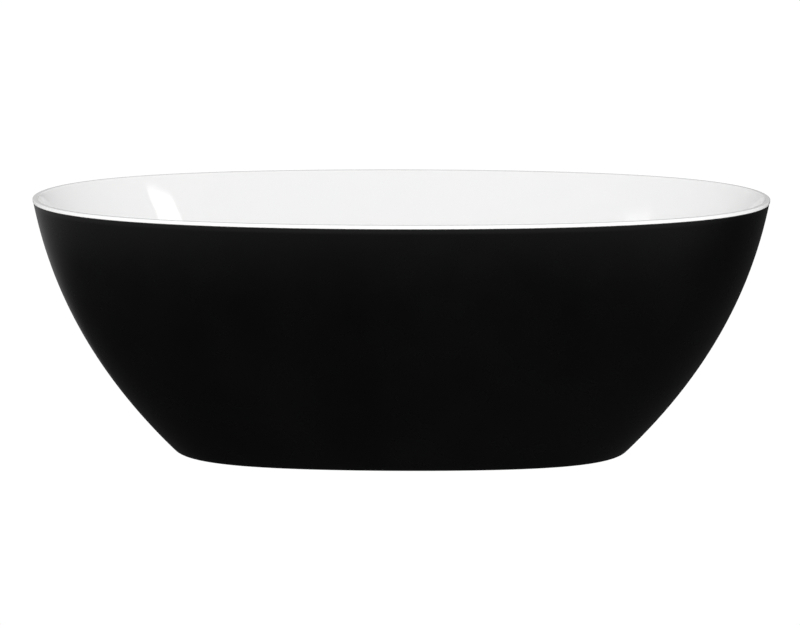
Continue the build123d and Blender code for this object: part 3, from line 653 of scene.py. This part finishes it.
basin = piece("basin", basin_mesh(), "acrylic_white", "tub", "basin_shell")
cut_overflow_hole(basin)
piece("skirt", skirt_mesh(), "acrylic_black", "tub", "outer_skirt")


# ---- levelling feet ----
THREAD_PITCH = 0.00175
STEM_RADIUS = 0.006
STEM_BOTTOM = 0.012
STEM_TOP = 0.118
STEM_HEX = 0.018
STEM_HEX_LOW = 0.0567
STEM_HEX_HIGH = 0.0667


def stem_mesh():
    """Threaded stem with its spanner hexagon and a plain end for the pad's socket."""
    plain_end = 0.028
    plain = lathe(rod_profile(STEM_RADIUS, STEM_BOTTOM, plain_end, 0.001), 36)
    screw = thread(STEM_RADIUS, 0.0009, THREAD_PITCH, plain_end, STEM_TOP)
    collar = hexagon_collar(STEM_HEX, STEM_HEX_LOW, STEM_HEX_HIGH, STEM_RADIUS - 0.001, 0.0011)
    return joined(plain, screw, collar)


def pad_mesh():
    """Moulded pad: a round tread with a shallow ring foot, a socket and eight gussets."""
    tread, boss, tread_top, boss_top = 0.028, 0.013, 0.010, 0.026
    socket, socket_floor = STEM_RADIUS + 0.00006, 0.0117
    body = lathe(soften([
        (0, 0.0012, 0), (0.019, 0.0012, 0.0008), (0.0205, 0, 0.0004), (tread, 0, 0.001),
        (tread, tread_top, 0.004), (boss, tread_top, 0.0015), (boss, boss_top, 0.0012),
        (socket, boss_top, 0.0004), (socket, socket_floor, 0), (0, socket_floor, 0),
    ]))
    half = 0.0009
    inner, outer, foot = boss - 0.001, tread - 0.006, tread_top - 0.0005
    side = [(inner, foot), (outer, foot), (inner, boss_top - 0.003)]
    gusset = skin([np.array([(x, y, z) for x, z in side]) for y in (-half, half)], closed=False)
    gussets = [placed(gusset, Matrix.Rotation(FULL_TURN * step / 8, 4, "Z")) for step in range(8)]
    return joined(body, *gussets)


for number in range(1, 5):
    low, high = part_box(f"foot_stem_{number}")
    place = Matrix.Translation(((low[0] + high[0]) / 2, (low[1] + high[1]) / 2, 0))
    piece(f"stem_{number}", placed(stem_mesh(), place), "zinc", f"stem_{number}", f"foot_stem_{number}")
    piece(f"pad_{number}", placed(pad_mesh(), place), "plastic_black", f"pad_{number}", f"foot_pad_{number}")


# ---- waste ----
def flange_mesh():
    """Dished flange, threaded throat and four-armed spider with its hub."""
    body = lathe(soften([
        (0.022, 0.126, 0.0005), (0.025, 0.126, 0.0005), (0.025, 0.153, 0), (0.035, 0.153, 0.0003),
        (0.035, 0.156, 0.0018), (0.0265, 0.1556, 0.002), (0.022, 0.1543, 0.0012),
    ], 7))
    hub = lathe(tube_profile(0.009, 0.006, 0.126, 0.132, 0.0008))
    arms = [
        placed(bar((0.0085, -0.002, 0.1265), (0.0225, 0.002, 0.1315)), Matrix.Rotation(pi / 2 * step, 4, "Z"))
        for step in range(4)
    ]
    return joined(body, hub, *arms)


def plug_mesh():
    """Domed cap on its stem."""
    cap_low, cap_high = 0.1663, 0.1718
    cap = lathe(soften([
        (0, cap_low, 0), (0.032, cap_low, 0.0005), (0.032, cap_high - 0.0009, 0.0028),
        (0.022, cap_high - 0.0002, 0.02), (0, cap_high, 0),
    ], 9))
    return joined(cap, lathe(rod_profile(0.004, 0.118, cap_low + 0.001), 48))


def spring_mesh():
    """Coil spring with closed end turns."""
    wire, coil, low, high = 0.0006, 0.007, 0.1486, 0.1657
    turns, dead = 6.0, 0.9
    points_along = 300
    rings = []
    wire_turn = np.linspace(0, FULL_TURN, 12, endpoint=False)
    end_lift = 2 * wire * 0.92      # rise of each closed end turn
    for share in np.linspace(0, 1, points_along):
        at = share * turns
        live = min(max((at - dead) / (turns - 2 * dead), 0), 1)
        ends = min(at / dead, 1) + max((at - turns) / dead + 1, 0)
        rise = (high - low - 2 * end_lift) * live + end_lift * ends
        angle = FULL_TURN * at
        out = np.array([cos(angle), sin(angle), 0])
        centre = coil * out + np.array([0, 0, low + rise])
        section = np.outer(np.cos(wire_turn), out) + np.outer(np.sin(wire_turn), (0, 0, 1))
        rings.append(centre + wire * section)
    return skin(rings, closed=False)


def waste_mesh():
    """Moulded tee: gasket flange with gussets, threaded outlet and the overflow's inlet."""
    body = lathe(soften([
        (0.022, 0.078, 0.0006), (0.028, 0.078, 0.0008), (0.028, 0.096, 0.0006), (0.030, 0.097, 0.0008),
        (0.030, 0.133, 0.001), (0.036, 0.133, 0.001), (0.036, 0.139, 0.0004), (0.025, 0.139, 0.0004),
        (0.025, 0.126, 0.0004), (0.022, 0.126, 0.0004),
    ]))
    side = [(0.029, 0.106), (0.0305, 0.106), (0.0352, 0.1335), (0.029, 0.1335)]
    gusset = skin([np.array([(x, y, z) for x, z in side]) for y in (-0.001, 0.001)], closed=False)
    gussets = [placed(gusset, Matrix.Rotation(FULL_TURN * (step + 0.5) / 8, 4, "Z")) for step in range(8)]
    bead = lathe(tube_profile(0.02835, 0.0275, 0.0915, 0.0928, 0.0005))
    towards_front = Matrix.Translation((0, 0, 0.115)) @ Matrix.Rotation(pi / 2, 4, "X")
    inlet = placed(lathe(tube_profile(0.007, 0.0052, 0.024, 0.072, 0.0004), 48), towards_front)
    collar = placed(lathe(tube_profile(0.0105, 0.0065, 0.0285, 0.034, 0.001), 48), towards_front)
    return joined(body, *gussets, bead, inlet, collar)


def union_mesh():
    """Hexagonal union nut with a lip under the pipe's collar."""
    flats, low, lip, high = 0.068, 0.069, 0.072, 0.090
    corner = flats / 2 / cos(pi / 6)
    rings = [
        circle_ring(0.0203, low), hexagon_ring(flats, low, corner - 0.004),
        hexagon_ring(flats, low + 0.0022, corner - 0.001), hexagon_ring(flats, high - 0.0022, corner - 0.001),
        hexagon_ring(flats, high, corner - 0.004), circle_ring(0.0287, high),
        circle_ring(0.0284, high - 0.0006), circle_ring(0.0284, lip), circle_ring(0.0203, lip),
    ]
    return skin(rings)


piece("waste_flange", flange_mesh(), "chrome", "tub", "drain_flange")
piece("waste_plug", plug_mesh(), "chrome", "plug", "drain_plug")
piece("waste_tee", waste_mesh(), "plastic_white", "tub", "waste_body")
piece("union_nut", union_mesh(), "plastic_white", "tub", "outlet_nut")
piece("tailpipe", lathe(soften([
    (0.018, 0.025, 0.0006), (0.020, 0.025, 0.0012), (0.020, 0.065, 0.0005), (0.0225, 0.0653, 0.0012),
    (0.0225, 0.0677, 0.0012), (0.020, 0.068, 0.0005), (0.020, 0.072, 0.0003), (0.027, 0.072, 0.0006),
    (0.027, 0.075, 0.0004), (0.018, 0.075, 0.0004),
])), "plastic_white", "tub", "outlet_pipe")

spring = piece("plug_return_spring", spring_mesh(), "spring_steel", "tub", "plug_spring")
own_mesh(spring)


# ---- overflow ----
def cover_mesh():
    """Round cover on its boss, its rim open at the bottom for the water."""
    radius, bore, back, face_back, front = 0.032, 0.030, 0.001, 0.009, 0.012
    face = lathe(soften([
        (0, face_back, 0), (radius, face_back, 0), (radius, front - 0.0006, 0.0022),
        (0.02, front - 0.0001, 0.02), (0, front, 0),
    ], 9))
    half_gap = atan(22 / 23.2)
    wall_top = face_back + 0.0002
    wall = soften([(bore, back, 0.0003), (radius, back, 0.0005), (radius, wall_top, 0), (bore, wall_top, 0)])
    side = part_lathe(wall, pi / 2 + half_gap, pi / 2 - half_gap + FULL_TURN)
    boss = lathe(tube_profile(0.006, 0.0025, 0.0024, face_back + 0.0002), 48)
    return placed(joined(face, side, boss), WALL_PLANE)


HOSE_START = (0, 0.030, -0.021)     # in the wall plane
HOSE_LEAVE = (0, 0.062, -0.021)
HOSE_TURN = (0, -0.2785, 0.115)
HOSE_END = (0, -0.05, 0.115)
HOSE_NEAR_TURN = 0.118              # straight run kept up to this far from the turn
HOSE_RADIUS = 0.0095
HOSE_BORE = 0.00705
HOSE_CUFF = 0.018
RIDGE_PITCH = 0.0042
RIDGE_DEPTH = 0.0014


def hose_mesh():
    """Corrugated hose with plain cuffs, along a smooth line through the same route."""
    start, leave = WALL_PLANE @ Vector(HOSE_START), WALL_PLANE @ Vector(HOSE_LEAVE)
    turn, end = Vector(HOSE_TURN), Vector(HOSE_END)
    above = turn + (leave - turn).normalized() * HOSE_NEAR_TURN
    beyond = turn + (end - turn).normalized() * HOSE_NEAR_TURN
    route = bpy.data.curves.new("hose_route", "CURVE")
    route.dimensions = "3D"
    route.resolution_u = 64
    spline = route.splines.new("NURBS")
    corners = (start, leave, above, turn, beyond, end)
    spline.points.add(len(corners) - 1)
    for point, corner in zip(spline.points, corners):
        point.co = (*corner, 1)
    spline.order_u = 3
    spline.use_endpoint_u = True
    holder = bpy.data.objects.new("hose_route", route)
    line = bpy.data.meshes.new_from_object(holder)
    raw = np.array([vertex.co for vertex in line.vertices])
    bpy.data.meshes.remove(line)
    bpy.data.objects.remove(holder)
    bpy.data.curves.remove(route)
    along = np.concatenate([[0], np.cumsum(np.linalg.norm(np.diff(raw, axis=0), axis=1))])
    length = along[-1]
    at = np.linspace(0, length, ceil(length / RIDGE_PITCH * 8))
    path = np.stack([np.interp(at, along, raw[:, axis]) for axis in range(3)], axis=1)
    ridge = 0.5 - 0.5 * np.cos(FULL_TURN * at / RIDGE_PITCH)
    plain = (at < HOSE_CUFF) | (at > length - HOSE_CUFF)
    outer = np.where(plain, HOSE_RADIUS, HOSE_RADIUS - RIDGE_DEPTH * (1 - ridge ** 0.7))
    inner = np.full(len(at), HOSE_BORE)
    return skin(swept(path, outer) + swept(path, inner)[::-1])


piece("overflow_plate", cover_mesh(), "chrome", "tub", "overflow_cover")
piece("overflow_pipe", hose_mesh(), "plastic_grey", "tub", "overflow_hose")


# ---- studio ----
CAMERA_PLACE = (0.0686, -4.8838, 1.3714)
CAMERA_DOWN = 12.234            # degrees below the horizon
CAMERA_TURN = 0.825             # degrees to the left
CAMERA_LENS = 96.0
SENSOR_WIDTH = 36.0
BRIGHT_SIDE = (-0.8, -0.6, 0.0)
BACKDROP = 1.02                 # brightness of the backdrop and the floor, just past white
# corners of the windows seen from the bath: along the sill, up, and how much the corner is rounded
WINDOW_RIGHT = ((0, 0, 0), (0.50, 0, 0), (0.275, 0.148, 0.13), (-0.27, 0.152, 0), (-0.14, 0.10, 0.4))
WINDOW_LEFT = ((0, 0, 0), (0.58, 0, 0), (0.53, 0.08, 0), (-0.03, 0.085, 0))


def add_camera():
    data = bpy.data.cameras.new("camera")
    data.lens = CAMERA_LENS
    data.sensor_width = SENSOR_WIDTH
    data.clip_end = 100
    camera = bpy.data.objects.new("camera", data)
    camera.location = CAMERA_PLACE
    camera.rotation_euler = (radians(90 - CAMERA_DOWN), 0, radians(CAMERA_TURN))
    bpy.context.scene.collection.objects.link(camera)
    bpy.context.scene.camera = camera


def add_softbox(name, place, target, width, height, brightness):
    """Rectangular softbox of an even brightness, turned to a target and not mirrored in the gloss."""
    data = bpy.data.lights.new(name, "AREA")
    data.shape = "RECTANGLE"
    data.size = width
    data.size_y = height
    data.energy = brightness * width * height * pi
    light = bpy.data.objects.new(name, data)
    light.location = place
    light.rotation_euler = (Vector(target) - Vector(place)).to_track_quat("-Z", "Y").to_euler()
    light.visible_camera = False
    light.visible_glossy = False
    bpy.context.scene.collection.objects.link(light)


def add_glowing_sheet(name, corners, brightness):
    """Flat stage piece that glows evenly on the side its corners run anticlockwise; its back is clear."""
    data = bpy.data.meshes.new(name)
    data.from_pydata([tuple(corner) for corner in corners], [], [tuple(range(len(corners)))])
    material = bpy.data.materials.new(name)
    material.use_nodes = True
    nodes, links = material.node_tree.nodes, material.node_tree.links
    nodes.remove(nodes["Principled BSDF"])
    glow = nodes.new("ShaderNodeEmission")
    glow.inputs["Strength"].default_value = brightness
    clear = nodes.new("ShaderNodeBsdfTransparent")
    choose = nodes.new("ShaderNodeMixShader")
    links.new(nodes.new("ShaderNodeNewGeometry").outputs["Backfacing"], choose.inputs["Fac"])
    links.new(glow.outputs[0], choose.inputs[1])
    links.new(clear.outputs[0], choose.inputs[2])
    links.new(choose.outputs[0], nodes["Material Output"].inputs["Surface"])
    data.materials.append(material)
    sheet = bpy.data.objects.new(name, data)
    sheet.visible_shadow = False
    bpy.context.scene.collection.objects.link(sheet)
    return sheet


def add_floor():
    """Pale seamless floor as white as the backdrop, with a near-black glowing sheet of painted shade under
    the bath.
    """
    half = 40.0
    corners = [(-half, -half, 0), (half, -half, 0), (half, half, 0), (-half, half, 0)]
    floor = add_glowing_sheet("floor", corners, BACKDROP)
    floor.visible_glossy = False
    # painted shade: a near-black sheet in the skirt's outline, standing in for the shade under the bath
    shaded = skirt_outline(0.0)
    shaded[:, 2] = 0.0002       # just above the floor
    under = add_glowing_sheet("painted_shade_under_bath", shaded, 0.004)
    under.visible_glossy = False
    under.visible_diffuse = False


def add_window(name, place, turn, lean, corners, brightness):
    """Window that shows only in the gloss, turned about Z and leaning over the bath, both in degrees."""
    points = soften(corners, 6)
    flat = np.column_stack([points, np.zeros(len(points))])
    upright = Matrix.Rotation(radians(turn), 4, "Z") @ Matrix.Rotation(radians(90 + lean), 4, "X")
    outline_points, _ = placed((flat, None), Matrix.Translation(place) @ upright)
    window = add_glowing_sheet(name, outline_points, brightness)
    window.visible_camera = False
    window.visible_diffuse = False


def smooth_range(nodes, links, value, low, high, to_low, to_high):
    """Value eased from one range to another."""
    node = nodes.new("ShaderNodeMapRange")
    node.interpolation_type = "SMOOTHSTEP"
    for socket, number in zip(("From Min", "From Max", "To Min", "To Max"), (low, high, to_low, to_high)):
        node.inputs[socket].default_value = number
    links.new(value, node.inputs["Value"])
    return node.outputs["Result"]


def add_surroundings(seen, lighting, least, dim, bright, overhead):
    """White backdrop for the camera, an even fill light, and a grey room in the gloss.

    The room is brighter in front and to the left, dim behind to the right, and dark near the floor.
    """
    world = bpy.data.worlds.new("studio")
    world.use_nodes = True
    nodes, links = world.node_tree.nodes, world.node_tree.links
    place = nodes.new("ShaderNodeTexCoord").outputs["Generated"]
    direction = nodes.new("ShaderNodeSeparateXYZ")
    links.new(place, direction.inputs[0])
    height = smooth_range(nodes, links, direction.outputs["Z"], -0.48, -0.15, 0.0, 1.0)
    ceiling = smooth_range(nodes, links, direction.outputs["Z"], -0.05, 0.3, least, overhead)
    towards = nodes.new("ShaderNodeVectorMath")
    towards.operation = "DOT_PRODUCT"
    towards.inputs[1].default_value = BRIGHT_SIDE
    links.new(place, towards.inputs[0])
    level = smooth_range(nodes, links, towards.outputs["Value"], -0.85, -0.25, dim, bright)
    room = nodes.new("ShaderNodeMath")
    room.operation = "MULTIPLY"
    links.new(height, room.inputs[0])
    links.new(level, room.inputs[1])
    mirrored = nodes.new("ShaderNodeMath")
    mirrored.operation = "MAXIMUM"
    links.new(room.outputs[0], mirrored.inputs[0])
    links.new(ceiling, mirrored.inputs[1])
    path = nodes.new("ShaderNodeLightPath")
    in_gloss = nodes.new("ShaderNodeMix")
    in_gloss.inputs[2].default_value = lighting
    links.new(path.outputs["Is Glossy Ray"], in_gloss.inputs[0])
    links.new(mirrored.outputs[0], in_gloss.inputs[3])
    strength = nodes.new("ShaderNodeMix")
    strength.inputs[3].default_value = seen
    links.new(path.outputs["Is Camera Ray"], strength.inputs[0])
    links.new(in_gloss.outputs[0], strength.inputs[2])
    background = nodes["Background"]
    background.inputs["Color"].default_value = (1, 1, 1, 1)
    links.new(strength.outputs[0], background.inputs["Strength"])
    bpy.context.scene.world = world


add_camera()
add_floor()
add_surroundings(seen=BACKDROP, lighting=0.61, least=0.036, dim=0.06, bright=0.37, overhead=0.35)
add_softbox("overhead", (0, -0.2, 3.2), (0, 0, 0.4), width=3.6, height=2.4, brightness=0.3)
add_softbox("front", (0, -4.6, 2.6), (0, 0, 0.5), width=5.0, height=2.2, brightness=3.3)
add_softbox("rear", (0, 4.6, 2.2), (0, 0, 0.5), width=4.0, height=2.0, brightness=1.6)
add_window("window_right", (1.53, -2.02, 2.03), 223, 17, WINDOW_RIGHT, brightness=6.0)
add_window("window_left", (-1.34, -2.195, 2.02), 135, 6, WINDOW_LEFT, brightness=2.4)
bpy.context.scene.view_settings.view_transform = "Standard"
